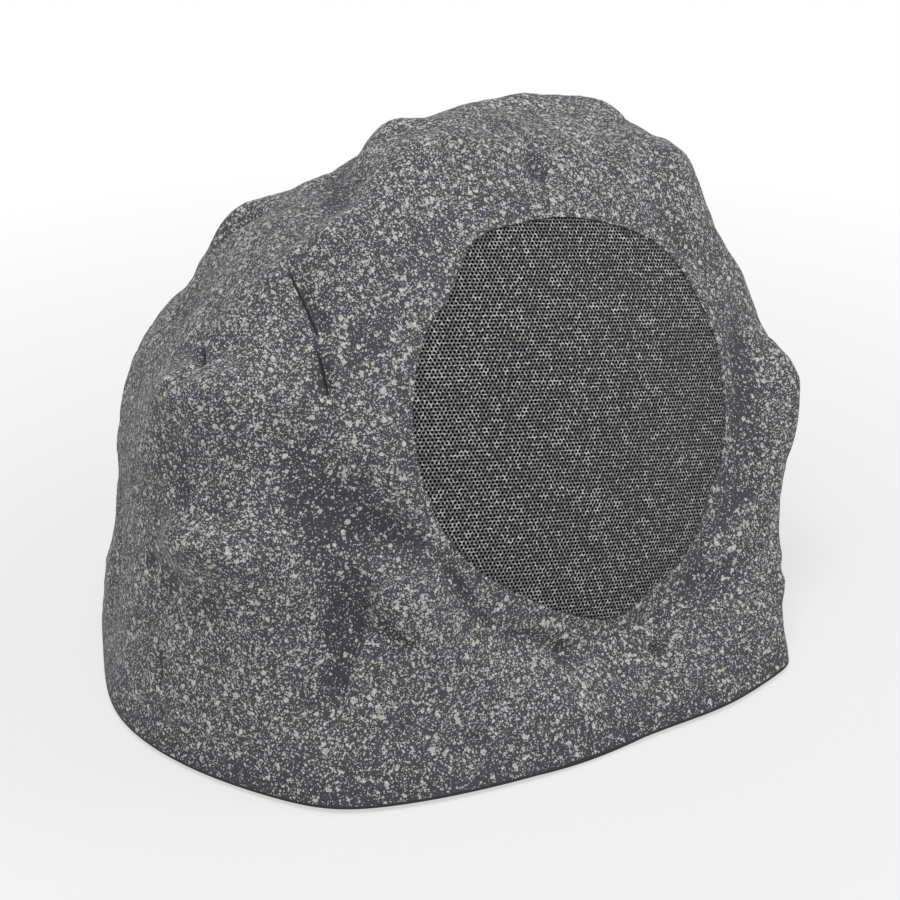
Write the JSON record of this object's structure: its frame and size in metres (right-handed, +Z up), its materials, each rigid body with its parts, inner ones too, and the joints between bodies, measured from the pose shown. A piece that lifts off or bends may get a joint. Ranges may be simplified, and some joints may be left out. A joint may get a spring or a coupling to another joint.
{
  "type": "rock shaped garden speaker",
  "caption": "Outdoor loudspeaker moulded as a speckled grey boulder, with a domed oval perforated grille in its front, a coaxial driver inside and a flat base.",
  "frame": {"origin": "middle of the base, on the ground", "axes": "+Z up; the grille looks towards -Y and up; +X is to the right as seen from the front"},
  "size_m": [0.4221, 0.3288, 0.3263],
  "materials": {
    "rock_skin": "moulded resin, dark grey paint with pale grey flecks",
    "grille_paint": "perforated steel, painted and flecked as the rock",
    "acoustic_cloth": "thin black woven cloth",
    "base_plastic": "black moulded plastic, fine grain",
    "foam_strip": "black closed-cell foam",
    "screw_steel": "zinc-plated steel",
    "basket_paint": "black satin paint on pressed steel",
    "surround_rubber": "soft black rubber",
    "cone_plastic": "black polypropylene",
    "former_foil": "thin aluminium foil",
    "coil_copper": "enamelled copper wire",
    "spider_cloth": "resin-treated cotton",
    "pole_steel": "plated steel",
    "ferrite": "sintered ferrite, dark grey",
    "bridge_plastic": "black moulded plastic",
    "dome_film": "coated fabric film",
    "tweeter_steel": "plated steel cup",
    "board_laminate": "green circuit laminate",
    "capacitor_sleeve": "shrunk film sleeve",
    "resistor_ceramic": "white ceramic block",
    "terminal_plastic": "green moulded plastic",
    "tag_fibre": "brown fibre strip",
    "lead_sheath": "flat two-core lead",
    "gland_plastic": "black nylon",
    "seal_rubber": "black rubber"
  },
  "bodies": {
    "enclosure": {"rock_shell": "rock_skin", "grille": "grille_paint", "grille_cloth": "acoustic_cloth", "base_plate": "base_plastic", "base_gasket": "foam_strip", "base_screws": "screw_steel", "woofer_gasket": "foam_strip", "woofer_basket": "basket_paint", "woofer_surround": "surround_rubber", "spider": "spider_cloth", "top_plate": "pole_steel", "magnet": "ferrite", "yoke": "pole_steel", "woofer_screws": "screw_steel", "tweeter_bridge": "bridge_plastic", "bridge_screws": "screw_steel", "tweeter_dome": "dome_film", "tweeter_motor": "tweeter_steel", "crossover_board": "board_laminate", "inductor": "coil_copper", "capacitors": "capacitor_sleeve", "resistor": "resistor_ceramic", "terminal_block": "terminal_plastic", "woofer_tag": "tag_fibre", "woofer_lead": "lead_sheath", "tweeter_lead": "lead_sheath", "gland_body": "gland_plastic", "gland_seal": "seal_rubber", "gland_cap": "gland_plastic", "gland_locknut": "gland_plastic"},
    "cone_assembly": {"woofer_cone": "cone_plastic", "dust_cap": "cone_plastic", "coil_former": "former_foil", "voice_coil": "coil_copper"}
  },
  "joints": [
    {"name": "cone_travel", "type": "slide", "parent": "enclosure", "child": "cone_assembly", "axis": [0, -0.9272, 0.3746], "range_m": [-0.004, 0.004], "stiffness_N_per_m": 1500, "deforming": ["woofer_surround", "spider"]}
  ]
}
